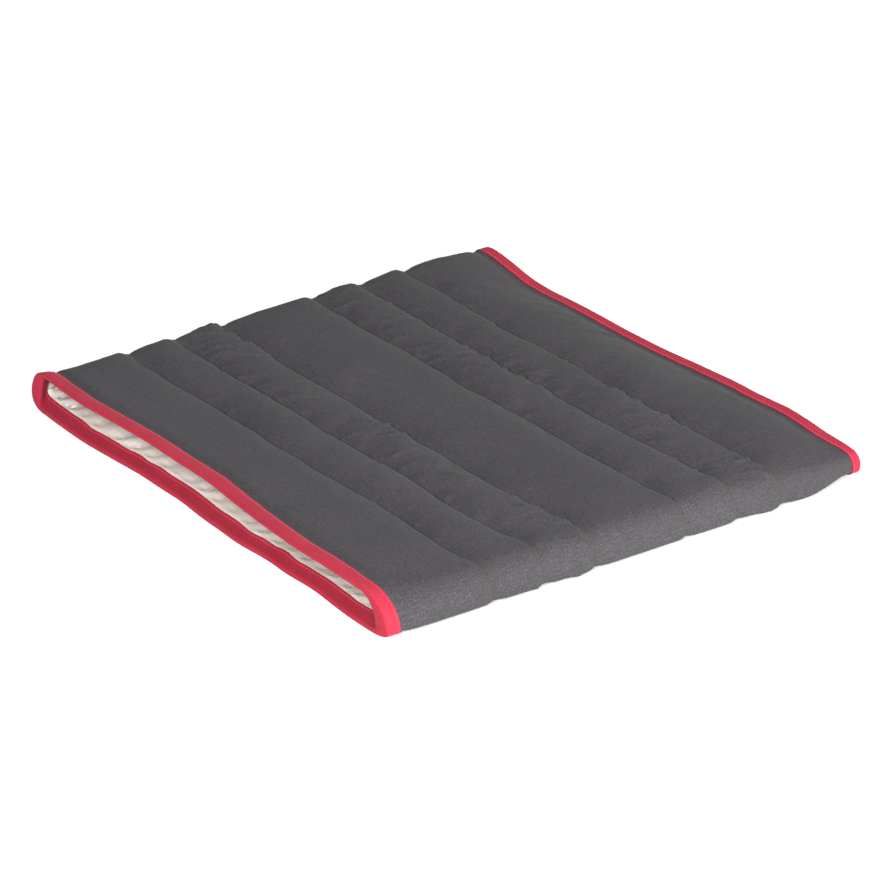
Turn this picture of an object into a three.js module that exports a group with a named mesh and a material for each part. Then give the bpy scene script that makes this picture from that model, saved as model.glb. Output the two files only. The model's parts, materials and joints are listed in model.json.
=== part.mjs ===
// A quilted, padded fabric sleeve: a flat tube of shell cloth, wadding and lining, open at both ends.
// It lies on its side of least height. Quilting lines run round the tube and divide it into channels of
// wadding, and a folded binding tape closes the cloth's edge at each mouth. Millimetres, +Z up.
//
// Frame: X runs along the tube, from the wide-open mouth at -X to the flatter mouth at +X. Y runs across it,
// from one folded side to the other. The origin is on the ground under the middle of the pad.
//
// The cloth bends at its quilting lines, so each channel is a rigid group of pieces, and the sewn strip
// on each line is the flexible piece between two groups.

import * as THREE from "three";

// Driving sizes of the whole sleeve
const LENGTH = 400; // from mouth to mouth
const WIDTH = 430; // across, from fold to fold
const HEIGHT = 27; // over the crests of the channels
const MOUTH_HEIGHT_OPEN = 29.4; // over the binding at the -X mouth
const MOUTH_HEIGHT_FLAT = 22.6; // over the binding at the +X mouth
const TAPER_SHARE = 0.72; // of each end channel's slope, the part that runs out flat to the binding

// Quilting
const PITCH = 40; // the quilting lines are one pitch apart, and two pitches at the middle and the ends
const LINES = [-3, -2, -1, 1, 2, 3].map((step) => step * PITCH);
const LINE_INSET = 3.3; // how deep a line is drawn in below the crest
const CREST_RISE = 16; // distance from a line to the full height of the puff
const FOLD_ANGLE = 40; // the most that two neighbouring channels fold towards each other, degrees
const FOLD_CLEARANCE = 0.4; // left between two channels folded that far

// Cloth and filling
const CREST_PLY = 9; // shell, wadding and lining together, at a crest
const LINE_PLY = 2.4; // the same, sewn flat on a line
const MOUTH_PLY = 3.2; // the same, under the binding
const SHELL = 0.9;
const LINING = 0.7;
const GAP = 0.3; // between neighbouring layers and pieces

// Binding tape and threads
const TAPE_WIDTH = 25; // before it is folded over the edge
const TAPE = 0.8;
const THREAD = 0.5;
const THREAD_WIDTH = 1.2;
const STITCH_EDGE = 2; // from the binding's edge to its row of stitches

// Closing seam, inside the fold at +Y
const SEAM_WIDTH = 10;
const SEAM = 1.6;
const SEAM_CLEARANCE = 2;

const ARC_STEPS = 8; // flats on the round of each fold
const MIDDLE = HEIGHT / 2;
const MOUTH = LENGTH / 2;
const TAPER = (MOUTH - Math.max(...LINES) - CREST_RISE) * TAPER_SHARE; // from the crest to the mouth
const TAPE_LEG = TAPE_WIDTH / 2;
const TAPE_INSET = THREAD + GAP; // the threads lie outside the tape and stay above the ground
const MOUTH_INSET = TAPE_INSET + TAPE + GAP;
const PLY_END = MOUTH - TAPE - GAP; // the cloth stops inside the fold of the tape

// Half the open wedge between two channels: it lets them fold together about a line at half height
const FOLD_SLOPE = Math.tan(THREE.MathUtils.degToRad(FOLD_ANGLE / 2));
const HALF_WEDGE = MIDDLE * FOLD_SLOPE + FOLD_CLEARANCE;

const COLOURS = {
  shell: { color: 0x4d4d50, roughness: 0.9, metalness: 0 },
  wadding: { color: 0xf1efe9, roughness: 1, metalness: 0 },
  lining: { color: 0xf4f1ea, roughness: 0.85, metalness: 0 },
  line: { color: 0x414145, roughness: 0.9, metalness: 0 },
  thread: { color: 0x8a4a50, roughness: 0.6, metalness: 0 },
  binding: { color: 0xc74a58, roughness: 0.75, metalness: 0 },
  seam: { color: 0xe9e4da, roughness: 0.85, metalness: 0 },
};

// A smooth step from 0 to 1
function ease(t) {
  const s = THREE.MathUtils.clamp(t, 0, 1);
  return s * s * (3 - 2 * s);
}

// Overall height of the flattened tube at x
function tubeHeight(x) {
  const mouthHeight = x < 0 ? MOUTH_HEIGHT_OPEN : MOUTH_HEIGHT_FLAT;
  const towardMouth = ease((Math.abs(x) - (MOUTH - TAPER)) / TAPER);
  return THREE.MathUtils.lerp(HEIGHT, mouthHeight, towardMouth);
}

// Points round the tube at x, drawn in from its outer face by inset: two flats and two round folds
function loopAt(x, inset) {
  const height = tubeHeight(x);
  const radius = height / 2 - inset;
  const centre = WIDTH / 2 - height / 2;
  const points = [];
  for (const side of [1, -1]) {
    for (let step = 0; step <= ARC_STEPS; step += 1) {
      const angle = side * (Math.PI / 2) - (Math.PI * step) / ARC_STEPS;
      const y = side * centre + radius * Math.cos(angle);
      points.push(new THREE.Vector3(x, y, height / 2 + radius * Math.sin(angle)));
    }
  }
  return points;
}

// A closed profile of [x, inset] corners carried round the tube
function ringGeometry(profile) {
  const loops = profile.map(([x, inset]) => loopAt(x, inset));
  const around = loops[0].length;
  const positions = loops.flat().flatMap((point) => point.toArray());
  const index = [];
  for (let i = 0; i < loops.length; i += 1) {
    const next = (i + 1) % loops.length;
    for (let j = 0; j < around; j += 1) {
      const k = (j + 1) % around;
      const [a, b, c, d] = [i * around + j, next * around + j, next * around + k, i * around + k];
      index.push(a, b, c, a, c, d);
    }
  }
  const geometry = new THREE.BufferGeometry();
  geometry.setAttribute("position", new THREE.Float32BufferAttribute(positions, 3));
  geometry.setIndex(index);
  geometry.computeVertexNormals();
  return geometry;
}

function makeMesh(name, geometry, look) {
  const mesh = new THREE.Mesh(geometry, new THREE.MeshStandardMaterial(COLOURS[look]));
  mesh.name = name;
  return mesh;
}

// How far the puff has risen at a distance from its quilting line, from 0 to 1
function puff(distance) {
  const t = THREE.MathUtils.clamp(1 - distance / CREST_RISE, 0, 1);
  return Math.sqrt(1 - t * t);
}

// Where the quilted cloth lies at x: how far in its outer face is, and how thick it is
function plyAt(x) {
  const fromLine = Math.min(...LINES.map((line) => Math.abs(x - line)));
  const rise = puff(fromLine);
  const crest = {
    inset: LINE_INSET * (1 - rise),
    thickness: LINE_PLY + (CREST_PLY - LINE_PLY) * rise,
  };
  const towardMouth = ease((Math.abs(x) - (MOUTH - TAPER)) / (TAPER - TAPE_LEG));
  return {
    inset: THREE.MathUtils.lerp(crest.inset, MOUTH_INSET, towardMouth),
    thickness: THREE.MathUtils.lerp(crest.thickness, MOUTH_PLY, towardMouth),
  };
}

// The x values at which a channel's profile has corners: at its ends, and on the way up to its crest
function channelStations(from, to) {
  const stations = [from, to];
  for (const [end, inward] of [[from, 1], [to, -1]]) {
    const atMouth = Math.abs(end) === PLY_END;
    const steps = atMouth
      ? [TAPE_LEG, (TAPE_LEG + TAPER) / 2, TAPER]
      : [(CREST_RISE - HALF_WEDGE) / 2, CREST_RISE - HALF_WEDGE];
    stations.push(...steps.map((step) => end + inward * step));
  }
  return stations.sort((a, b) => a - b);
}

// A layer of the quilted cloth between two depths, each measured by a function of the ply
function layerProfile(stations, outer, inner) {
  const outside = stations.map((x) => [x, outer(plyAt(x))]);
  const inside = stations.map((x) => [x, inner(plyAt(x))]);
  return [...outside, ...inside.reverse()];
}

const layers = {
  shell: [(ply) => ply.inset, (ply) => ply.inset + SHELL],
  wadding: [(ply) => ply.inset + SHELL + GAP, (ply) => ply.inset + ply.thickness - LINING - GAP],
  lining: [(ply) => ply.inset + ply.thickness - LINING, (ply) => ply.inset + ply.thickness],
};

// Strip of closing seam inside the fold at +Y, along one channel
function closingSeam(name, from, to) {
  const radius = MIDDLE - CREST_PLY;
  const reach = WIDTH / 2 - CREST_PLY - SEAM_CLEARANCE;
  const geometry = new THREE.BoxGeometry(to - from, SEAM_WIDTH, Math.min(SEAM, radius));
  const mesh = makeMesh(name, geometry, "seam");
  mesh.position.set((from + to) / 2, reach - SEAM_WIDTH / 2, MIDDLE);
  return mesh;
}

// One channel: shell, wadding, lining and its stretch of closing seam
function makeChannel(number, start, end) {
  const group = new THREE.Group();
  const from = Math.abs(start) < MOUTH ? start + HALF_WEDGE : -PLY_END;
  const to = Math.abs(end) < MOUTH ? end - HALF_WEDGE : PLY_END;
  const stations = channelStations(from, to);
  for (const [layer, [outer, inner]] of Object.entries(layers)) {
    group.add(makeMesh(`${layer}_${number}`, ringGeometry(layerProfile(stations, outer, inner)), layer));
  }
  const seamFrom = Math.max(from, -(MOUTH - TAPE_LEG - GAP));
  const seamTo = Math.min(to, MOUTH - TAPE_LEG - GAP);
  group.add(closingSeam(`closing_seam_${number}`, seamFrom, seamTo));
  return group;
}

// The sewn strip on a quilting line, with the ring of thread that holds it
function makeQuiltingLine(number, x) {
  const group = new THREE.Group();
  const half = HALF_WEDGE - GAP;
  const strip = [[x - half, LINE_INSET], [x + half, LINE_INSET]];
  const back = [...strip].reverse().map(([at, inset]) => [at, inset + LINE_PLY]);
  group.add(makeMesh(`quilting_line_${number}`, ringGeometry([...strip, ...back]), "line"));
  group.add(makeThread(`quilting_thread_${number}`, x, LINE_INSET - GAP - THREAD));
  return group;
}

function makeThread(name, x, inset) {
  const half = THREAD_WIDTH / 2;
  const top = [[x - half, inset], [x + half, inset]];
  const bottom = [[x + half, inset + THREAD], [x - half, inset + THREAD]];
  return makeMesh(name, ringGeometry([...top, ...bottom]), "thread");
}

// Binding tape folded over the cloth's edge at a mouth, with its row of stitches. side is -1 or +1.
function makeBinding(end, side) {
  const group = new THREE.Group();
  const outer = TAPE_INSET;
  const inner = MOUTH_INSET + MOUTH_PLY + GAP;
  const lip = MOUTH - TAPE_LEG;
  const fold = MOUTH - TAPE;
  const corners = [
    [lip, outer], [MOUTH, outer], [MOUTH, inner + TAPE], [lip, inner + TAPE],
    [lip, inner], [fold, inner], [fold, outer + TAPE], [lip, outer + TAPE],
  ];
  const profile = corners.map(([x, inset]) => [side * x, inset]);
  const facing = side > 0 ? profile : profile.reverse();
  group.add(makeMesh(`binding_${end}`, ringGeometry(facing), "binding"));
  group.add(makeThread(`binding_stitches_${end}`, side * (lip + STITCH_EDGE), 0));
  return group;
}

function makeSleeve() {
  const sleeve = new THREE.Group();
  const bounds = [-MOUTH, ...LINES, MOUTH];
  for (let number = 1; number < bounds.length; number += 1) {
    sleeve.add(makeChannel(number, bounds[number - 1], bounds[number]));
  }
  LINES.forEach((x, at) => sleeve.add(makeQuiltingLine(at + 1, x)));
  sleeve.add(makeBinding("left", -1));
  sleeve.add(makeBinding("right", 1));
  return sleeve;
}

export default makeSleeve();
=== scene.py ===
"""A quilted, padded fabric sleeve with bound mouths, lying on a pale floor.

The sleeve is one grid, with rows round the tube and columns along it. The shell, wadding and lining are all
cut from it, in one piece for each fold line, which runs from the middle of one channel to the middle of the
next. Lengths are in metres; MM turns millimetres into metres.
"""
import json
import math

import bpy
import numpy as np
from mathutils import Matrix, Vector


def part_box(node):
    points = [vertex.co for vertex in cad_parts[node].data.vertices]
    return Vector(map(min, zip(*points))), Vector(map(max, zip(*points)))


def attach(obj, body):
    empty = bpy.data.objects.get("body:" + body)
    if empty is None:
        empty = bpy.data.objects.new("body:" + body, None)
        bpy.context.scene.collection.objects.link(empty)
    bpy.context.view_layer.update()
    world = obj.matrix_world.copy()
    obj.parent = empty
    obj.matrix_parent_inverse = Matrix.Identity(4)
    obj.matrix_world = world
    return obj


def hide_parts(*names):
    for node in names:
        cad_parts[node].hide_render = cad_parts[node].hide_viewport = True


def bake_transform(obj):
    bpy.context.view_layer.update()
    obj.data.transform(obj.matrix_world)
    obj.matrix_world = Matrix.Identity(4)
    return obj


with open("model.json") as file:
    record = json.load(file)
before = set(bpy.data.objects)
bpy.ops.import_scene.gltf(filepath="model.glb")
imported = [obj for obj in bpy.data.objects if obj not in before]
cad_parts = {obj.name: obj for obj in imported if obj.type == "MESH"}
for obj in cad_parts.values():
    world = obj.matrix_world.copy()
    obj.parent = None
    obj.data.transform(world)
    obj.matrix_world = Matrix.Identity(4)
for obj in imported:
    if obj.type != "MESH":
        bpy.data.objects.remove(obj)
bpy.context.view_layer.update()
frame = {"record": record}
MM = 0.001


# ---------------------------------------------------------------- sizes from the frame

def cad_box(node):
    low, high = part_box(node)
    return np.array(low), np.array(high)


JOINTS = sorted(frame["record"]["behaviour"]["joints"], key=lambda joint: joint["pos_m"][0])
LINES = [joint["pos_m"][0] for joint in JOINTS]
MOUTH = cad_box("binding_right")[1][0]
HALF_WIDTH = cad_box("shell_4")[1][1]
CREST = cad_box("shell_4")[1][2]
TAPE_LEG = MOUTH - cad_box("binding_right")[0][0]

# ---------------------------------------------------------------- sizes of the cloth

CREST_PLY = 9.0 * MM
LINE_PLY = 2.4 * MM
MOUTH_PLY = 2.2 * MM
LINE_DEPTH = 5.4 * MM
RISE_FROM_LEFT = 15 * MM  # how far the padding takes to rise to its full height from a quilting line
RISE_TO_RIGHT = 6 * MM
FOLD_PINCH = 8 * MM  # how much further in the lining's folds lie at the mouths, under the binding
SHELL = 0.55 * MM
LINING = 0.4 * MM
CLOTH_GAP = 0.3 * MM
SHELL_TO_WADDING = 1.5 * MM
WADDING_TO_LINING = 2.2 * MM
TAPE = 0.5 * MM
TAPE_GAP = 0.1 * MM
EDGE_ROOM = 2.3 * MM  # from the mouth's plane to the padded cloth's edge, with the tape's bend between them
COLUMN = 2 * MM
ROUND = 2 * MM
LINE_SKEW = -0.022
LINE_WANDER = 1.2 * MM
LINE_LEAN = np.array([0, 2, 5, 2, 5, 3]) * MM  # how far each line leans towards +X at its near end
LIP_HEIGHT = 29.6 * MM  # the left mouth's lip
BODY_HEIGHT = 22.5 * MM  # the crests, at the far fold
BODY_RISE = 5.0 * MM  # how much higher they are at the near fold
FLAT_MOUTH_HEIGHT = 13.0 * MM  # the right mouth, halfway to its far fold
NEAR_EDGE = 218.0 * MM  # how far out the near fold lies at the mouths
BELLY = 6.5 * MM  # how much further out it lies between them
FAR_EDGE = 216.5 * MM
TILT = 2.3 * MM  # how much lower a channel's left side is than its right
GROOVE = 1.8 * MM  # how deep the shell dips beside the left tape
SEAM_WIDTH = 10 * MM
STITCH_INSET = 2 * MM  # from the tape's free edge


def smooth(t):
    """An even step from 0 to 1 as t goes from 0 to 1."""
    t = np.clip(t, 0, 1)
    return t * t * (3 - 2 * t)


def bell(q, centre, width):
    """A bump of height 1 at centre."""
    return np.exp(-((q - centre) / width) ** 2)


def ripple(q, period, shortest, longest, seed, terms=16):
    """Smooth noise along q that repeats after period, made of waves between two lengths, up to about 1."""
    pick = np.random.default_rng(seed)
    counts = pick.integers(max(1, round(period / longest)), round(period / shortest) + 1, terms)
    phases = pick.uniform(0, 2 * math.pi, terms)
    waves = sum(np.cos(2 * math.pi * n * q / period + p) for n, p in zip(counts, phases))
    return waves / math.sqrt(terms * 2)


def cloudy(points, length, seed, terms=14):
    """Smooth noise over points, made of plane waves of about one length, up to about 1."""
    pick = np.random.default_rng(seed)
    total = 0
    for _ in range(terms):
        direction = pick.normal(size=3)
        direction /= np.linalg.norm(direction)
        scale = 2 * math.pi / (length * pick.uniform(0.7, 1.4))
        total = total + np.cos(points @ direction * scale + pick.uniform(0, 2 * math.pi))
    return total / math.sqrt(terms * 2)


# ---------------------------------------------------------------- the sleeve's surface

FOLD_ARC = math.pi * CREST / 2
FLAT = 2 * (HALF_WIDTH - CREST / 2)
LOOP = 2 * FLAT + 2 * FOLD_ARC
ROWS = int(round(LOOP / ROUND))
V = np.arange(ROWS) * LOOP / ROWS  # round the tube: top from far to near, near fold, underside, far fold


def loop_parts(v):
    """For each v: its place across the flat (-1 near, +1 far) and its angle round the section."""
    along = np.zeros_like(v)
    angle = np.zeros_like(v)
    top = v < FLAT
    near = (v >= FLAT) & (v < FLAT + FOLD_ARC)
    under = (v >= FLAT + FOLD_ARC) & (v < 2 * FLAT + FOLD_ARC)
    far = v >= 2 * FLAT + FOLD_ARC
    along[top] = 1 - 2 * v[top] / FLAT
    angle[top] = math.pi / 2
    along[near] = -1
    angle[near] = math.pi / 2 + math.pi * (v[near] - FLAT) / FOLD_ARC
    along[under] = -1 + 2 * (v[under] - FLAT - FOLD_ARC) / FLAT
    angle[under] = -math.pi / 2
    along[far] = 1
    angle[far] = -math.pi / 2 + math.pi * (v[far] - 2 * FLAT - FOLD_ARC) / FOLD_ARC
    return along, angle


ALONG, ANGLE = loop_parts(V)
Y0 = ALONG * FLAT / 2 + np.cos(ANGLE) * CREST / 2  # nominal place across the sleeve


def line_x(at, y, v):
    """Where quilting line number at runs, at y across the sleeve."""
    wander = ripple(v, LOOP, 0.11, 0.45, 40 + at) * LINE_WANDER
    lean = LINE_LEAN[at] * smooth((-y - 0.08) / 0.12)
    return LINES[at] + LINE_SKEW * y + wander + lean


def mouth_x(side, y, v):
    """Where the cloth's edge runs at a mouth. Top and underside have their own bows."""
    uneven = 0.6 * MM * ripple(v, LOOP, 0.05, 0.15, 71 if side < 0 else 72)
    if side > 0:
        out = 2.4 * smooth((0.04 - y) / 0.1) - 2.5 * bell(y, 0.13, 0.03)
        return MOUTH - EDGE_ROOM + uneven + out * MM
    bow = 3.5 * bell(y, 0.03, 0.07) - 2.5 * bell(y, 0.15, 0.04)
    top = 2.8 * bell(y, -0.012, 0.035) + 1.6 * smooth((y - 0.02) / 0.05) - 2.2 * bell(y, -0.125, 0.04)
    underside = 1.8 * bell(y, -0.14, 0.03) - 3.1 * smooth((y + 0.1) / 0.06)
    below = (1 - np.sin(ANGLE)) / 2
    return -MOUTH + EDGE_ROOM + uneven + (bow + top * (1 - below) + underside * below) * MM


def crease_spread(count):
    """Shares from 0 to 1 for a channel's columns, closer together beside its quilting lines."""
    t = np.linspace(0, 1, count + 1)
    return t - 0.10 * np.sin(2 * math.pi * t) / math.pi


# Columns: the x of every column is set channel by channel, so that the quilting lines lie on columns
columns = []  # (channel, share)
line_columns = []
for channel in range(7):
    low = -MOUTH if channel == 0 else LINES[channel - 1]
    high = MOUTH if channel == 6 else LINES[channel]
    count = 2 * int(round((high - low) / COLUMN / 2))
    shares = crease_spread(count)
    columns += [(channel, share) for share in (shares if channel == 6 else shares[:-1])]
    if channel < 6:
        line_columns.append(len(columns))
COLUMNS = len(columns)
CHANNEL = np.array([c for c, _ in columns])
SHARE = np.array([s for _, s in columns])
at_middle = np.abs(SHARE - 0.5) < 1e-6
centre_columns = [int(np.flatnonzero((CHANNEL == c) & at_middle)[0]) for c in range(7)]


def column_x():
    """x for every column and row."""
    edges = [mouth_x(-1, Y0, V)] + [line_x(k, Y0, V) for k in range(6)] + [mouth_x(1, Y0, V)]
    x = np.empty((COLUMNS, ROWS))
    for i in range(COLUMNS):
        left, right = edges[CHANNEL[i]], edges[CHANNEL[i] + 1]
        x[i] = left + (right - left) * SHARE[i]
    return x, edges


X, EDGES = column_x()
WIDTHS = np.array([EDGES[CHANNEL[i] + 1] - EDGES[CHANNEL[i]] for i in range(COLUMNS)])
FROM_LEFT = WIDTHS * SHARE[:, None]
FROM_RIGHT = WIDTHS - FROM_LEFT
FROM_LEFT[CHANNEL == 0] = 1.0
FROM_RIGHT[CHANNEL == 6] = 1.0
FROM_LINE = np.minimum(FROM_LEFT, FROM_RIGHT)
TO_MOUTH = np.where(CHANNEL[:, None] == 0, WIDTHS * SHARE[:, None], 1.0)
TO_MOUTH = np.where(CHANNEL[:, None] == 6, WIDTHS * (1 - SHARE[:, None]), TO_MOUTH)
NEAR_FOLD = np.broadcast_to(smooth((-Y0 - 0.165) / 0.035), X.shape)
FAR_FOLD = np.broadcast_to(smooth((Y0 - 0.185) / 0.03), X.shape)
VV = np.broadcast_to(V, X.shape)


def top_height(x, y):
    """Height of the crests above the ground. The left mouth flares up, and the right mouth lies flat."""
    near = smooth((0.23 - y) / 0.42)
    body = BODY_HEIGHT + BODY_RISE * near
    left = LIP_HEIGHT + 0.6 * MM * np.sin(y * 34) - 1.5 * MM * smooth((y - 0.12) / 0.08)
    right = FLAT_MOUTH_HEIGHT + 10.5 * MM * smooth((0.06 - y) / 0.22) - 4.5 * MM * smooth((-y - 0.16) / 0.045)
    right = right + 3.0 * MM * smooth((y - 0.15) / 0.05) - 2.0 * MM * bell(y, 0.13, 0.03)
    flare = np.clip((-x - 0.16) / 0.04, 0, 1.05) ** 1.5
    to_right = smooth((x - 0.12) / 0.08)
    height = body + (left - body) * flare
    return height + (right - height) * to_right


def section(inset, pinch=0.0):
    """Points of the section, drawn in from its outer face by inset, and by pinch more in the folds."""
    height = top_height(X, ALONG[None, :] * FLAT / 2)
    near = ALONG[None, :] < 0
    at_left = smooth((-X - 0.15) / 0.04)
    at_right = smooth((X - 0.15) / 0.04)
    near_reach = height / 2 * (1.35 + 0.9 * at_left)
    far_reach = height / 2 * 1.1
    belly = 1 - 0.4 * smooth((-X - 0.17) / 0.03) - 0.7 * smooth((X - 0.15) / 0.05)
    near_centre = -(NEAR_EDGE + BELLY * belly) + near_reach
    far_centre = FAR_EDGE + 3 * MM * at_right - far_reach
    centre = near_centre + (far_centre - near_centre) * (ALONG[None, :] + 1) / 2
    crease = height * np.where(near, 0.26 - 0.12 * at_left + 0.2 * at_right, 0.42)
    crease = np.clip(crease, inset + 0.3 * MM, height - inset - 0.3 * MM)
    c, s = np.cos(ANGLE)[None, :], np.sin(ANGLE)[None, :]
    reach = np.where(near, near_reach, far_reach) - inset - pinch * np.where(near, 1.6, 1.1)
    y = centre + reach * np.sign(c) * np.abs(c) ** 0.9
    rise = np.where(s > 0, height - crease - inset, crease - inset)
    z = crease + rise * np.sign(s) * np.abs(s) ** (0.88 + 0.12 * at_left)
    z = z + 2.5 * MM * at_right * smooth((-y - 0.17) / 0.04)
    return np.stack([X, y, z], axis=-1)


def puff(distance, reach, power):
    """How much of its full height the padding has, at a distance from a quilting line."""
    return 1 - np.clip(1 - distance / reach, 0, 1) ** power


def quilted():
    """The outer and inner faces of the padded cloth."""
    uneven = 1 + 0.3 * ripple(VV, LOOP, 0.03, 0.12, 6)
    rise = np.minimum(puff(FROM_LEFT, RISE_FROM_LEFT, 2.2), puff(FROM_RIGHT, RISE_TO_RIGHT * uneven, 2.6))
    past_tape = TO_MOUTH - TAPE_LEG
    right = (CHANNEL == 6)[:, None]
    mouth = smooth(1 - past_tape / np.where(right, 0.018, 0.03))
    tilt = TILT * (1 - np.clip(FROM_LEFT / 0.034, 0, 1)) * smooth(FROM_LINE / 0.006)
    depth = LINE_DEPTH * (1 + 0.25 * ripple(VV + 0.4 * X, LOOP, 0.06, 0.2, 5))
    depth = depth * (1 - 0.62 * NEAR_FOLD - 0.5 * FAR_FOLD)
    inset = depth * (1 - rise) + tilt * (1 - 0.8 * NEAR_FOLD)
    groove = GROOVE * np.where(right, 0.5, 1.0) * bell(past_tape, 1 * MM, 3.5 * MM) * (1 - 0.8 * NEAR_FOLD)
    inset = inset + (TAPE + 0.2 * MM - inset) * mouth + groove
    ply = LINE_PLY + (CREST_PLY - LINE_PLY) * rise
    ply = ply + (MOUTH_PLY - ply) * mouth
    pinch = FOLD_PINCH * (1 - smooth(TO_MOUTH / TAPE_LEG))
    return section(inset), section(inset + ply, pinch)


def grid_normals(points):
    """Unit normals of a grid of points, out of the tube."""
    along = np.gradient(points, axis=0)
    around = np.roll(points, -1, axis=1) - np.roll(points, 1, axis=1)
    normal = np.cross(around, along)
    return normal / np.maximum(np.linalg.norm(normal, axis=-1, keepdims=True), 1e-12)


DRAG_HEIGHT = 2.2 * MM
DRAG = np.array([0.15, 0.3, 1.0, 0.15, 0.9, 1.0, 0.4])  # each channel's share of it


def pucker(points):
    """Height of the creases over the shell: slanting drags across the channels, and gathers at the lines."""
    slant = VV - 0.74 * X
    wander = ripple(VV + 2.0 * X, LOOP, 0.05, 0.12, 26) * 0.004
    ridge = np.exp(-(ripple(slant + wander, LOOP, 0.03, 0.09, 21) / 0.20) ** 2)
    fine = np.exp(-(ripple(slant - wander, LOOP, 0.016, 0.05, 22) / 0.25) ** 2)
    patch = smooth(0.6 + 1.1 * cloudy(points, 0.07, 23))
    from_right = smooth(FROM_RIGHT / 0.003) * np.exp(-(FROM_RIGHT / 0.022) ** 1.5)
    from_left = smooth(FROM_LEFT / 0.004) * np.exp(-(FROM_LEFT / 0.016) ** 1.5)
    from_tape = 0.25 + 0.85 * np.exp(-np.maximum(TO_MOUTH - TAPE_LEG, 0) / 0.018)
    strength = np.where(CHANNEL[:, None] == 6, from_tape, from_right + 0.35 * from_left)
    drags = DRAG_HEIGHT * DRAG[CHANNEL][:, None] * patch * strength * (ridge + 0.25 * fine)
    gather = ripple(VV - 0.5 * X, LOOP, 0.006, 0.016, 24)
    gather = gather * np.exp(-FROM_LINE / 0.004) * smooth(FROM_LINE / 0.0025)
    soft = cloudy(points, 0.07, 25) * 0.5 * MM * smooth(FROM_LINE / 0.02)
    fade = smooth((TO_MOUTH - TAPE_LEG) / 0.008)
    return (drags + 0.22 * MM * gather + soft) * (0.2 + 0.8 * fade)


# ---------------------------------------------------------------- the padding swells the cloth

# For each channel: how far its right side has slid round the tube against its left, and its share of the
# spare cloth
SLIDE = np.array([0, 1.5, 5, 0, 5, 5, 1.5]) * MM
SPARE = np.array([0.1, 0.5, 1.0, 0.1, 1.0, 1.0, 0.5])
MOST_SPARE = 0.018
SETTLE_FRAMES = 12
SOFTEN_ROUNDS = 8
HELD_COLUMNS = 7  # the columns beside each mouth that the binding holds
PADDING_PRESSURE = 4


def slid(grid):
    """The grid with every column moved round the tube by its share of its channel's slide."""
    ends = np.r_[0, np.cumsum(SLIDE)]
    moved = ends[CHANNEL] + SLIDE[CHANNEL] * SHARE
    steps = (moved - moved.mean()) / (LOOP / ROWS)
    row = np.arange(ROWS)[None, :] + steps[:, None]
    low = np.floor(row).astype(int)
    part = (row - low)[..., None]
    column = np.arange(COLUMNS)[:, None]
    return grid[column, low % ROWS] * (1 - part) + grid[column, (low + 1) % ROWS] * part


def grid_object(name, start, rest):
    """The grid as an open tube of quads, at start, with a shape key for its size at rest."""
    i, j = np.meshgrid(np.arange(COLUMNS - 1), np.arange(ROWS), indexing="ij")
    k = (j + 1) % ROWS
    faces = np.stack([i * ROWS + j, i * ROWS + k, (i + 1) * ROWS + k, (i + 1) * ROWS + j], -1).reshape(-1, 4)
    mesh = bpy.data.meshes.new(name)
    mesh.from_pydata(start.reshape(-1, 3).tolist(), [], faces.tolist())
    obj = bpy.data.objects.new(name, mesh)
    bpy.context.collection.objects.link(obj)
    obj.shape_key_add(name="Basis")
    obj.shape_key_add(name="rest").data.foreach_set("co", rest.astype(np.float32).ravel())
    return obj


def weigh_columns(obj, name, weights):
    """A vertex group with one weight for each column of the grid."""
    group = obj.vertex_groups.new(name=name)
    for weight in np.unique(weights):
        picked = np.flatnonzero(weights == weight)
        group.add((picked[:, None] * ROWS + np.arange(ROWS)).ravel().tolist(), float(weight), "REPLACE")
    return group.name


def add_cloth(obj):
    """Cloth that padding presses outwards, held along the quilting lines and at the mouths."""
    held = np.zeros(COLUMNS)
    held[line_columns] = 1
    held[:HELD_COLUMNS] = 1
    held[-HELD_COLUMNS:] = 1
    modifier = obj.modifiers.new("cloth", "CLOTH")
    cloth = modifier.settings
    cloth.quality = 4
    cloth.mass = 0.0001
    cloth.tension_stiffness = 15
    cloth.compression_stiffness = 15
    cloth.shear_stiffness = 5
    cloth.bending_stiffness = 0.08
    cloth.tension_damping = 5
    cloth.compression_damping = 5
    cloth.shear_damping = 5
    cloth.bending_damping = 0.5
    cloth.use_pressure = True
    cloth.uniform_pressure_force = PADDING_PRESSURE
    cloth.rest_shape_key = obj.data.shape_keys.key_blocks["rest"]
    cloth.vertex_group_mass = weigh_columns(obj, "held", held)
    cloth.vertex_group_shrink = weigh_columns(obj, "tight", 1 - SPARE[CHANNEL])
    cloth.shrink_min = -MOST_SPARE
    cloth.shrink_max = 0
    cloth.effector_weights.gravity = 0
    modifier.collision_settings.use_collision = False
    modifier.collision_settings.use_self_collision = False


def settled(rest):
    """The outer face after the padding has pressed it out, as the shell cloth's drawn and creased surface."""
    start = slid(rest)
    unevenness = np.random.default_rng(3).normal(size=start.shape[:2]) * 0.08 * MM
    start = start + grid_normals(start) * unevenness[..., None]
    obj = grid_object("settling", start, rest)
    add_cloth(obj)
    for number in range(1, SETTLE_FRAMES + 1):
        bpy.context.scene.frame_set(number)
    done = obj.evaluated_get(bpy.context.evaluated_depsgraph_get()).data
    points = np.empty(COLUMNS * ROWS * 3, np.float32)
    done.vertices.foreach_get("co", points)
    bpy.data.objects.remove(obj)
    bpy.context.scene.frame_set(1)
    return points.reshape(COLUMNS, ROWS, 3).astype(float)


def softened(field, rounds):
    """A field over the grid, averaged with its neighbours along and round the tube."""
    for _ in range(rounds):
        field = (np.roll(field, 1, axis=1) + 2 * field + np.roll(field, -1, axis=1)) / 4
        inside = (field[:-2] + 2 * field[1:-1] + field[2:]) / 4
        field = np.concatenate([field[:1], inside, field[-1:]])
    return field


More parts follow.
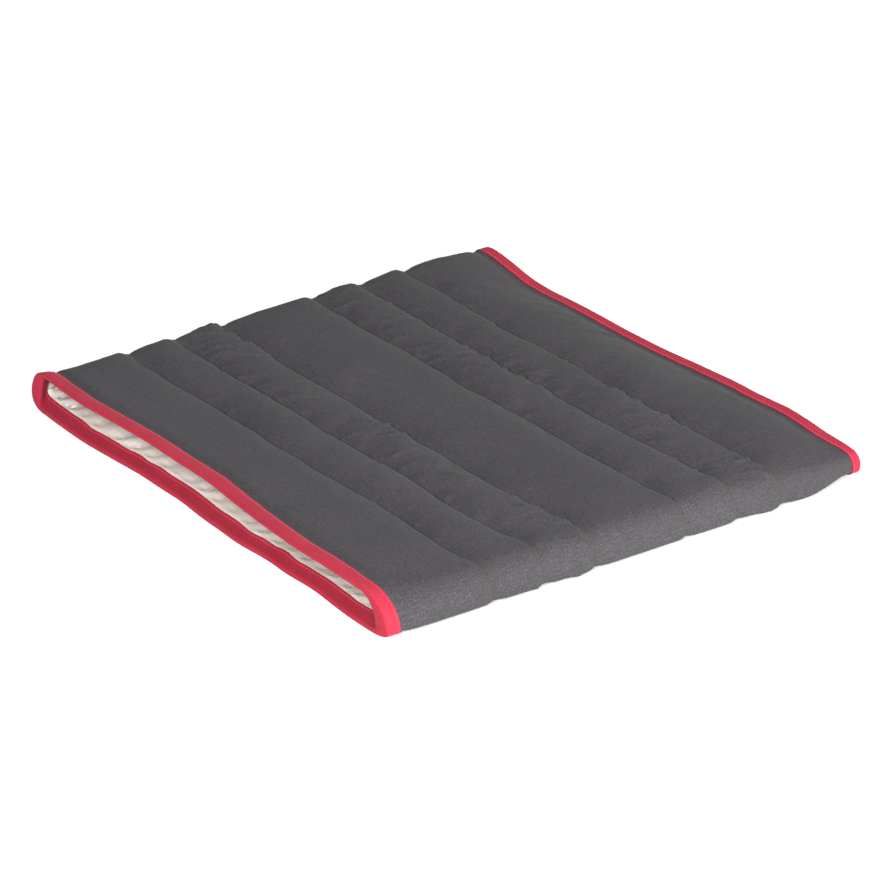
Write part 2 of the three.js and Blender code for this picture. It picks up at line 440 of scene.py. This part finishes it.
def pressed_out(rest):
    """The outer face after the simulation, with its finest creases evened out and a calmer near fold."""
    move = softened(settled(rest) - rest, SOFTEN_ROUNDS)
    keep = smooth((FROM_LINE - 1 * MM) / (3 * MM)) * (1 - 0.6 * NEAR_FOLD)
    return rest + move * keep[..., None]


def above_ground(grid):
    """The points, with none of them lower than just above the ground."""
    grid = grid.copy()
    grid[..., 2] = np.maximum(grid[..., 2], 0.1 * MM)
    return grid


def lining_wrinkles():
    """How far the lining stands into the hollow: soft folds, stronger beside the mouths."""
    near_mouth = np.exp(-np.maximum(TO_MOUTH - TAPE_LEG, 0) / 0.03)
    near_mouth = near_mouth * smooth((TO_MOUTH - 0.9 * TAPE_LEG) / 0.008)
    folds = 1.5 * ripple(VV + 0.6 * X, LOOP, 0.016, 0.05, 61)
    slack = ripple(VV - 0.3 * X, LOOP, 0.02, 0.06, 62) * smooth((TO_MOUTH - 0.5 * TAPE_LEG) / 0.015)
    return (1.1 * folds * near_mouth + 0.35 * slack) * MM


OUTER, INNER = quilted()
OUTER = above_ground(OUTER)
OUTER = pressed_out(OUTER)
NORMALS = grid_normals(OUTER)
OUTER = above_ground(OUTER + NORMALS * pucker(OUTER)[..., None])
NORMALS = grid_normals(OUTER)
INNER = INNER - grid_normals(INNER) * lining_wrinkles()[..., None]
INNER_NORMALS = grid_normals(INNER)

# ---------------------------------------------------------------- meshes from grids


def quads(first, second, rows, closed):
    """Faces between two runs of vertices of the same length."""
    j = np.arange(rows if closed else rows - 1)
    k = (j + 1) % rows
    return np.stack([first + j, second + j, second + k, first + k], -1)


def mesh_object(name, verts, faces, material):
    mesh = bpy.data.meshes.new(name)
    mesh.vertices.add(len(verts))
    mesh.vertices.foreach_set("co", verts.astype(np.float32).ravel())
    mesh.loops.add(faces.size)
    mesh.loops.foreach_set("vertex_index", faces.ravel().astype(np.int32))
    mesh.polygons.add(len(faces))
    mesh.polygons.foreach_set("loop_start", np.arange(0, faces.size, 4, dtype=np.int32))
    mesh.polygons.foreach_set("use_smooth", np.ones(len(faces), bool))
    mesh.update()
    mesh.materials.append(material)
    obj = bpy.data.objects.new(name, mesh)
    bpy.context.collection.objects.link(obj)
    return obj


def set_uv(mesh, faces, u, v):
    """The map "cloth": metres along and round the tube, with no jump where the rows close."""
    u, v = u[faces], v[faces]
    wraps = (v.max(axis=1) - v.min(axis=1)) > LOOP / 2
    v[wraps] = np.where(v[wraps] < LOOP / 2, v[wraps] + LOOP, v[wraps])
    mesh.uv_layers.new(name="cloth").data.foreach_set("uv", np.stack([u, v], -1).astype(np.float32).ravel())


def solid_between(name, top, bottom, material, u, v, normals=None, closed=True):
    """A closed piece between two grids. Its rows close round the tube, or end in side walls."""
    columns_here, rows = top.shape[:2]
    count = columns_here * rows
    verts = np.concatenate([top.reshape(-1, 3), bottom.reshape(-1, 3)])
    faces = []
    for i in range(columns_here - 1):
        strip = quads(i * rows, (i + 1) * rows, rows, closed)
        faces += [strip[:, ::-1], strip + count]
    faces.append(quads(0, count, rows, closed))
    last = (columns_here - 1) * rows
    faces.append(quads(last, last + count, rows, closed)[:, ::-1])
    if not closed:
        i = np.arange(columns_here - 1) * rows
        for side in (0, rows - 1):
            wall = np.stack([i + side, i + side + rows, i + side + rows + count, i + side + count], -1)
            faces.append(wall if side == 0 else wall[:, ::-1])
    faces = np.concatenate(faces)
    obj = mesh_object(name, verts, faces, material)
    set_uv(obj.data, faces, np.tile(u.ravel(), 2), np.tile(v.ravel(), 2))
    if normals is not None:
        both = np.concatenate([normals.reshape(-1, 3), -normals.reshape(-1, 3)])
        obj.data.normals_split_custom_set_from_vertices(both.astype(np.float32))
    return obj


STITCH_SIDES = 6
STITCH_ALONG = np.array([0, 0.06, 0.2, 0.5, 0.8, 0.94, 1])
STITCH_GIRTH = np.array([0.02, 0.6, 0.95, 1, 0.95, 0.6, 0.02])


def stitches(guide, normals, length, gap, radius):
    """Vertices and faces of a row of stitches along a closed line, each one dipping in at both ends."""
    steps = np.linalg.norm(np.roll(guide, -1, axis=0) - guide, axis=1)
    place = np.r_[0, np.cumsum(steps)]
    count = int(place[-1] / (length + gap))
    pitch = place[-1] / count
    at = (np.arange(count)[:, None] * pitch + STITCH_ALONG * (pitch - gap)) % place[-1]
    line = np.stack([np.interp(at, place, np.r_[guide[:, k], guide[0, k]]) for k in range(3)], -1)
    up = unit(np.stack([np.interp(at, place, np.r_[normals[:, k], normals[0, k]]) for k in range(3)], -1))
    forward = unit(np.gradient(line, axis=1))
    sideways = np.cross(forward, up)
    lift = radius * (1.6 * np.sin(math.pi * STITCH_ALONG) ** 0.5 - 0.9)
    centre = line + up * lift[None, :, None]
    turn = np.arange(STITCH_SIDES) * 2 * math.pi / STITCH_SIDES
    girth = radius * STITCH_GIRTH[None, :, None, None]
    ring = sideways[:, :, None] * np.cos(turn)[:, None] + up[:, :, None] * np.sin(turn)[:, None]
    verts = (centre[:, :, None] + ring * girth).reshape(-1, 3)
    rings = len(STITCH_ALONG)
    one = [quads(r * STITCH_SIDES, (r + 1) * STITCH_SIDES, STITCH_SIDES, True) for r in range(rings - 1)]
    one.append(np.array([[0, 1, 2, 3], [0, 3, 4, 5]]))
    end = (rings - 1) * STITCH_SIDES
    one.append(np.array([[3, 2, 1, 0], [5, 4, 3, 0]]) + end)
    one = np.concatenate(one)
    faces = (np.arange(count)[:, None, None] * rings * STITCH_SIDES + one).reshape(-1, 4)
    return verts, faces


def stitch_object(name, rows, material):
    """One piece made of several rows of stitches."""
    verts = above_ground(np.concatenate([v for v, _ in rows]))
    starts = np.cumsum([0] + [len(v) for v, _ in rows])
    faces = np.concatenate([f + start for (_, f), start in zip(rows, starts)])
    return mesh_object(name, verts, faces, material)


def unit(vectors):
    """The vectors at length 1."""
    return vectors / np.maximum(np.linalg.norm(vectors, axis=-1, keepdims=True), 1e-12)


# ---------------------------------------------------------------- materials

class Nodes:
    """Short names for building a node material."""

    def __init__(self, name):
        self.material = bpy.data.materials.new(name)
        self.material.use_nodes = True
        self.tree = self.material.node_tree
        self.shader = self.tree.nodes["Principled BSDF"]

    def add(self, kind, inputs=None, **settings):
        node = self.tree.nodes.new(kind)
        for key, value in settings.items():
            setattr(node, key, value)
        for key, value in (inputs or {}).items():
            if isinstance(value, bpy.types.NodeSocket):
                self.tree.links.new(value, node.inputs[key])
            else:
                node.inputs[key].default_value = value
        return node

    def math(self, operation, a, b=0.0):
        return self.add("ShaderNodeMath", {0: a, 1: b}, operation=operation).outputs[0]

    def uv(self):
        return self.add("ShaderNodeUVMap", uv_map="cloth").outputs[0]

    def noise(self, vector, scale, detail=3.0, roughness=0.5):
        return self.add("ShaderNodeTexNoise", {"Vector": vector, "Scale": scale, "Detail": detail,
                                                "Roughness": roughness}).outputs["Fac"]

    def ramp(self, fac, stops):
        node = self.add("ShaderNodeValToRGB", {0: fac})
        elements = node.color_ramp.elements
        while len(elements) < len(stops):
            elements.new(0.5)
        for element, (place, colour) in zip(elements, stops):
            element.position = place
            element.color = (*colour, 1)
        return node.outputs[0]

    def mix(self, fac, a, b, blend="MIX"):
        node = self.add("ShaderNodeMix", data_type="RGBA", blend_type=blend)
        for socket, value in ((node.inputs[0], fac), (node.inputs[6], a), (node.inputs[7], b)):
            if isinstance(value, bpy.types.NodeSocket):
                self.tree.links.new(value, socket)
            elif isinstance(value, (int, float)):
                socket.default_value = value
            else:
                socket.default_value = (*value, 1)
        return node.outputs[2]

    def bump(self, height, strength, distance, normal=None):
        inputs = {"Height": height, "Strength": strength, "Distance": distance}
        if normal is not None:
            inputs["Normal"] = normal
        return self.add("ShaderNodeBump", inputs).outputs[0]

    def finish(self, colour, roughness, normal, sheen=0.0, specular=0.15):
        for key, value in (("Base Color", colour), ("Roughness", roughness), ("Normal", normal)):
            if isinstance(value, bpy.types.NodeSocket):
                self.tree.links.new(value, self.shader.inputs[key])
            elif value is not None:
                self.shader.inputs[key].default_value = value
        self.shader.inputs["Sheen Weight"].default_value = sheen
        self.shader.inputs["Sheen Roughness"].default_value = 0.45
        self.shader.inputs["Specular IOR Level"].default_value = specular
        return self.material


def weave_height(nodes, uv, yarn):
    """Height of a plain weave: yarns along and across that pass over and under each other."""
    split = nodes.add("ShaderNodeSeparateXYZ", {0: uv})
    warp = nodes.math("SINE", nodes.math("MULTIPLY", split.outputs[0], math.pi / yarn))
    weft = nodes.math("SINE", nodes.math("MULTIPLY", split.outputs[1], math.pi / yarn))
    height = nodes.math("MULTIPLY_ADD", nodes.math("MULTIPLY", warp, weft), 0.5)
    height.node.inputs[2].default_value = 0.5
    return height


def scaled_noise(nodes, vector, along, across, detail=2.0):
    """Noise with its own scale along and round the tube, in lumps to the metre."""
    stretched = nodes.add("ShaderNodeMapping", {0: vector, "Scale": (along, across, 1)}).outputs[0]
    return nodes.noise(stretched, 1.0, detail)


def weighted(nodes, parts):
    """The middle value plus the sum of (value - 0.5) * weight."""
    total = 0.5
    for value, weight in parts:
        total = nodes.math("ADD", nodes.math("MULTIPLY", nodes.math("SUBTRACT", value, 0.5), weight), total)
    return total


def cloth_material(name, colours, yarn, fleck, bump, sheen, roughness):
    """A plain weave of yarns that differ a little in tone, with flecks, a slight unevenness in the dye, and
    painted shade in the weave's dips.
    """
    nodes = Nodes(name)
    uv = nodes.uv()
    height = weave_height(nodes, uv, yarn)
    tone = weighted(nodes, [
        (scaled_noise(nodes, uv, 0.9 / yarn, 120), 0.5 * fleck),
        (scaled_noise(nodes, uv, 120, 0.9 / yarn), 0.5 * fleck),
        (scaled_noise(nodes, uv, 0.55 / yarn, 0.55 / yarn), fleck),
        (nodes.noise(uv, 11.0, 4.0), 0.22),
        # painted shade: the colour follows the weave's height, lighter where the yarns stand high and darker
        # in the dips between them
        (height, 0.25),
    ])
    colour = nodes.ramp(tone, [(0.2, colours[0]), (0.5, colours[1]), (0.8, colours[2])])
    normal = nodes.bump(height, bump, yarn * 0.4)
    return nodes.finish(colour, roughness, normal, sheen)


def shell_material():
    greys = [(0.0215, 0.0199, 0.0217), (0.0345, 0.0323, 0.0350), (0.0585, 0.0549, 0.0580)]
    return cloth_material("shell_cloth", greys, 0.6 * MM, fleck=0.9, bump=0.3, sheen=0.03, roughness=0.85)


def lining_material():
    whites = [(0.47, 0.43, 0.385), (0.54, 0.50, 0.46), (0.60, 0.57, 0.53)]
    return cloth_material("lining_cloth", whites, 0.4 * MM, fleck=0.6, bump=0.2, sheen=0.05, roughness=0.8)


def seam_material():
    whites = [(0.40, 0.37, 0.33), (0.47, 0.44, 0.40), (0.53, 0.50, 0.46)]
    return cloth_material("seam_tape", whites, 0.6 * MM, fleck=1.0, bump=0.5, sheen=0.1, roughness=0.8)


def wadding_material():
    """Bonded fibre: white, lumpy and fuzzy."""
    nodes = Nodes("wadding")
    where = nodes.add("ShaderNodeTexCoord").outputs["Object"]
    fibre = nodes.noise(where, 900.0, 6.0, 0.7)
    lumps = nodes.noise(where, 90.0, 3.0)
    colour = nodes.ramp(lumps, [(0.3, (0.78, 0.77, 0.74)), (0.7, (0.92, 0.91, 0.89))])
    normal = nodes.bump(fibre, 0.6, 0.4 * MM)
    return nodes.finish(colour, 0.95, normal, 0.4)


RIB = 0.7 * MM


def tape_material():
    """Ribbed binding tape: fine ribs run across the tape, from edge to edge, with painted shade between the
    ribs.
    """
    nodes = Nodes("binding_tape")
    uv = nodes.uv()
    split = nodes.add("ShaderNodeSeparateXYZ", {0: uv})
    rib = nodes.math("SINE", nodes.math("MULTIPLY", split.outputs[1], 2 * math.pi / RIB))
    rib = nodes.math("MULTIPLY_ADD", rib, 0.5)
    rib.node.inputs[2].default_value = 0.5
    tone = weighted(nodes, [
        (scaled_noise(nodes, uv, 300, 1500), 0.5),
        (nodes.noise(uv, 35.0, 4.0), 0.5),
        # painted shade: the colour is lighter on the ribs and darker in the hollows between them
        (rib, 0.3),
    ])
    colour = nodes.ramp(tone, [
        (0.2, (0.22, 0.012, 0.025)),
        (0.5, (0.275, 0.017, 0.033)),
        (0.8, (0.33, 0.024, 0.043)),
    ])
    normal = nodes.bump(rib, 0.3, 0.2 * MM)
    return nodes.finish(colour, 0.75, normal, 0.02, 0.08)


def thread_material(name, colour):
    """Twisted thread, with painted shade: the colour is darker where the ply's bump is low."""
    nodes = Nodes(name)
    where = nodes.add("ShaderNodeTexCoord").outputs["Object"]
    ply = nodes.noise(where, 2600.0, 2.0)
    # painted shade: the thread is darker where its ply bump dips
    dark = tuple(c * 0.7 for c in colour)
    normal = nodes.bump(ply, 0.4, 0.1 * MM)
    return nodes.finish(nodes.ramp(ply, [(0.35, dark), (0.65, colour)]), 0.5, normal, 0.1)


SHELL_CLOTH = shell_material()
LINING_CLOTH = lining_material()
WADDING = wadding_material()
TAPE_CLOTH = tape_material()
SEAM_TAPE = seam_material()
BINDING_THREAD = thread_material("binding_thread", (0.55, 0.05, 0.09))
QUILTING_THREAD = thread_material("quilting_thread", (0.062, 0.027, 0.031))

# ---------------------------------------------------------------- the padded cloth, piece by piece

THROUGH = unit(INNER - OUTER)
SHELL_BACK = OUTER + THROUGH * SHELL
LINING_FRONT = INNER - THROUGH * LINING
ROOM = np.linalg.norm(LINING_FRONT - SHELL_BACK, axis=-1, keepdims=True)
# where the layers are sewn flat, the wadding is thin too
WAD_FRONT = SHELL_BACK + THROUGH * np.minimum(SHELL_TO_WADDING, 0.3 * ROOM)
WAD_BACK = LINING_FRONT - THROUGH * np.minimum(WADDING_TO_LINING, 0.5 * ROOM)
STEPS_ALONG = np.linalg.norm(np.diff(OUTER, axis=0), axis=-1).mean(axis=1)
ALONG_U = np.broadcast_to(np.cumsum(np.r_[0, STEPS_ALONG])[:, None], X.shape)
STOPS = [0] + centre_columns[1:6] + [COLUMNS - 1]


def picked(start, end, step):
    """Every step-th column and row from column start to column end."""
    return np.ix_(np.unique(np.r_[np.arange(start, end, step), end]), np.arange(0, ROWS, step))


def bend_at(piece, number, slot, *nodes):
    """Bakes the piece's placement into its mesh and hides those CAD nodes, which it stands for. The fold line
    number is not used.
    """
    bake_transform(piece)
    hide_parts(*nodes)


def channels_of(node, number):
    """The CAD nodes of one layer that the piece at a fold line stands for."""
    names = [f"{node}_{number}"]
    if number == len(JOINTS):
        names.append(f"{node}_{number + 1}")
    return names


def make_shell(number):
    here = picked(STOPS[number - 1], STOPS[number], 1)
    piece = solid_between(f"shell_cloth_{number}", OUTER[here], SHELL_BACK[here], SHELL_CLOTH,
                          ALONG_U[here], VV[here], NORMALS[here])
    bend_at(piece, number, "shell_cloth", *channels_of("shell", number), f"quilting_line_{number}")


def make_wadding(number):
    here = picked(STOPS[number - 1], STOPS[number], 2)
    piece = solid_between(f"wadding_sheet_{number}", WAD_FRONT[here], WAD_BACK[here], WADDING,
                          ALONG_U[here], VV[here])
    bend_at(piece, number, "wadding", *channels_of("wadding", number))


def make_lining(number):
    here = picked(STOPS[number - 1], STOPS[number], 2)
    piece = solid_between(f"lining_cloth_{number}", LINING_FRONT[here], INNER[here], LINING_CLOTH,
                          ALONG_U[here], VV[here], INNER_NORMALS[here])
    bend_at(piece, number, "lining_cloth", *channels_of("lining", number))


SEAM_PLY = 1.2 * MM


def make_closing_seam(number):
    """The tape over the seam that closes the tube, along the lining inside the far fold."""
    middle = ROWS - int(round(FOLD_ARC / 2 / (LOOP / ROWS)))
    half = int(round(SEAM_WIDTH / 2 / (LOOP / ROWS)))
    rows = np.arange(middle - half, middle + half + 1)
    start = max(STOPS[number - 1], HELD_COLUMNS)
    end = min(STOPS[number], COLUMNS - 1 - HELD_COLUMNS)
    here = np.ix_(np.arange(start, end + 1), rows)
    ridge = 0.7 * MM * np.exp(-(np.linspace(-2, 2, len(rows))) ** 2)[None, :, None]
    back = INNER[here] - INNER_NORMALS[here] * CLOTH_GAP
    front = back - INNER_NORMALS[here] * (SEAM_PLY + ridge)
    piece = solid_between(f"seam_tape_{number}", back, front, SEAM_TAPE,
                          ALONG_U[here], VV[here], closed=False)
    bend_at(piece, number, "seam_tape", *channels_of("closing_seam", number))


QUILT_STITCH, QUILT_GAP, QUILT_THREAD = 3.0 * MM, 0.9 * MM, 0.25 * MM


def make_quilting_stitches(number):
    """A row of stitches round the outside and a row round the inside, on one quilting line."""
    column = line_columns[number - 1]
    rows = [stitches(OUTER[column], NORMALS[column], QUILT_STITCH, QUILT_GAP, QUILT_THREAD),
            stitches(INNER[column], -INNER_NORMALS[column], QUILT_STITCH, QUILT_GAP, QUILT_THREAD)]
    piece = stitch_object(f"quilting_stitches_{number}", rows, QUILTING_THREAD)
    bend_at(piece, number, "quilting_thread", f"quilting_thread_{number}")


for fold in range(1, len(JOINTS) + 1):
    make_shell(fold)
    make_wadding(fold)
    make_lining(fold)
    make_closing_seam(fold)
    make_quilting_stitches(fold)

# ---------------------------------------------------------------- binding tape at the mouths

LEG_PLACES = np.array([1, 0.92, 0.84, 0.76, 0.6, 0.4, 0.2, 0.04])  # shares of the tape's leg, free edge first
BEND_STEPS = 7
MOUTH_COLUMNS = 40  # enough columns to hold the tape's legs


def from_mouth(grid, side, distance):
    """Points of a grid at a distance from a mouth's edge, which may differ from row to row."""
    part = grid[:MOUTH_COLUMNS] if side < 0 else grid[:-MOUTH_COLUMNS - 1:-1]
    steps = np.linalg.norm(np.diff(part, axis=0), axis=-1)
    place = np.concatenate([np.zeros((1, ROWS)), np.cumsum(steps, axis=0)])
    out = np.empty((ROWS, 3))
    for row in range(ROWS):
        for k in range(3):
            out[row, k] = np.interp(distance[row], place[:, row], part[:, row, k])
    return out


def tape_leg(side, grid, normals, leg, seed):
    """The middle of one leg of the tape, from its free edge to the bend, standing off the cloth."""
    length = leg * (0.985 + 0.03 * ripple(V, LOOP, 0.02, 0.09, seed))
    rows = []
    for share in LEG_PLACES:
        distance = length * share
        gathers = ripple(V, LOOP, 0.004, 0.012, seed + 1) * smooth((share - 0.2) / 0.8)
        stitched = 0.22 * MM * math.exp(-((length.mean() * (1 - share) - STITCH_INSET) / (1 * MM)) ** 2)
        off = TAPE / 2 + TAPE_GAP + 0.1 * MM + 0.14 * MM * gathers - stitched
        out = from_mouth(normals, side, distance)
        rows.append(from_mouth(grid, side, distance) + out * off[:, None])
    return np.array(rows)


def tape_middle(side):
    """The middle of the folded tape, from free edge to free edge, with its outer leg running along +X."""
    off_centre = ((0 if side < 0 else 3.5) + 2.3 * smooth((-Y0 - 0.17) / 0.035)) * MM
    outer = tape_leg(side, OUTER, NORMALS, TAPE_LEG - off_centre, 80)
    inner = tape_leg(side, INNER, -INNER_NORMALS, TAPE_LEG + off_centre, 90)
    centre = (outer[-1] + inner[-1]) / 2
    half = (outer[-1] - inner[-1]) / 2
    thick = np.minimum(np.linalg.norm(half, axis=-1, keepdims=True), MOUTH_PLY / 2 + TAPE)
    reach = thick * np.array([[side, 0, 0]])
    angles = np.linspace(0, math.pi, BEND_STEPS + 2)[1:-1]
    bend = np.array([centre + half * math.cos(a) + reach * math.sin(a) for a in angles])
    middle = np.concatenate([outer, bend, inner[::-1]])
    return middle if side > 0 else middle[::-1]


def make_binding(side, name, body):
    """The tape folded over the cloth's edge at one mouth. Returns its middle and normals for the stitches."""
    middle = tape_middle(side)
    normals = grid_normals(middle)
    steps = np.linalg.norm(np.diff(middle, axis=0), axis=-1).mean(axis=1)
    u = np.broadcast_to(np.cumsum(np.r_[0, steps])[:, None], middle.shape[:2])
    v = np.broadcast_to(V, middle.shape[:2])
    front, back = middle + normals * TAPE / 2, middle - normals * TAPE / 2
    front, back = above_ground(front), above_ground(back)
    piece = solid_between(f"tape_{name}", front, back, TAPE_CLOTH, u, v)
    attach(piece, body)
    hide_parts(f"binding_{name}")
    return middle, normals


TAPE_STITCH, TAPE_STITCH_GAP, TAPE_THREAD = 2.6 * MM, 0.7 * MM, 0.25 * MM


def make_binding_stitches(side, name, body, middle, normals):
    """The row of stitches through both legs of the tape, 2 mm from its free edges."""
    lines = []
    leg = 1 - STITCH_INSET / TAPE_LEG
    nearest = int(np.argmin(np.abs(LEG_PLACES - leg)))
    for index in (nearest, len(middle) - 1 - nearest):
        lines.append(stitches(middle[index] + normals[index] * TAPE / 2, normals[index],
                              TAPE_STITCH, TAPE_STITCH_GAP, TAPE_THREAD))
    piece = stitch_object(f"tape_stitches_{name}", lines, BINDING_THREAD)
    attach(piece, body)
    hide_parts(f"binding_stitches_{name}")


for side, name, body in ((-1, "left", "channel_1"), (1, "right", "channel_7")):
    middle, normals = make_binding(side, name, body)
    make_binding_stitches(side, name, body, middle, normals)

# ---------------------------------------------------------------- camera, floor and light


def look_from(azimuth, elevation):
    """The direction from the middle of the pad to a place seen from in front (azimuth 0) or from +X (90)."""
    a, e = math.radians(azimuth), math.radians(elevation)
    return Vector((math.sin(a) * math.cos(e), -math.cos(a) * math.cos(e), math.sin(e)))


CAMERA_DISTANCE = 4.032
TARGET = Vector((0.2 * MM, -5.7 * MM, 0))


def make_camera():
    camera = bpy.data.cameras.new("camera")
    camera.sensor_width = 36
    camera.lens = 235
    camera.clip_end = 50
    obj = bpy.data.objects.new("camera", camera)
    bpy.context.collection.objects.link(obj)
    back = look_from(-35.5, 26.7)
    obj.location = TARGET + back * CAMERA_DISTANCE
    obj.rotation_euler = back.to_track_quat("Z", "Y").to_euler()
    bpy.context.scene.camera = obj


def make_floor():
    mesh = bpy.data.meshes.new("floor")
    size = 12
    corners = [(-size, -size, 0), (size, -size, 0), (size, size, 0), (-size, size, 0)]
    mesh.from_pydata(corners, [], [(0, 1, 2, 3)])
    obj = bpy.data.objects.new("floor", mesh)
    bpy.context.collection.objects.link(obj)
    nodes = Nodes("floor")
    mesh.materials.append(nodes.finish((0.9, 0.9, 0.9, 1), 0.9, None))


LIGHT_DISTANCE = 3.0


def area_light(name, direction, size, power):
    light = bpy.data.lights.new(name, "AREA")
    light.shape = "DISK"
    light.size = size
    light.energy = power
    obj = bpy.data.objects.new(name, light)
    bpy.context.collection.objects.link(obj)
    obj.location = direction.normalized() * LIGHT_DISTANCE
    obj.rotation_euler = direction.to_track_quat("Z", "Y").to_euler()


def make_light():
    world = bpy.data.worlds.new("studio")
    world.use_nodes = True
    world.node_tree.nodes["Background"].inputs[0].default_value = (1, 1, 1, 1)
    world.node_tree.nodes["Background"].inputs[1].default_value = 0.45
    bpy.context.scene.world = world
    area_light("key", look_from(22, 15), 1.0, 168)
    area_light("fill", look_from(-45, 33), 1.4, 160)
    bpy.context.scene.view_settings.view_transform = "Standard"  # so that the floor stays white


make_camera()
make_floor()
make_light()
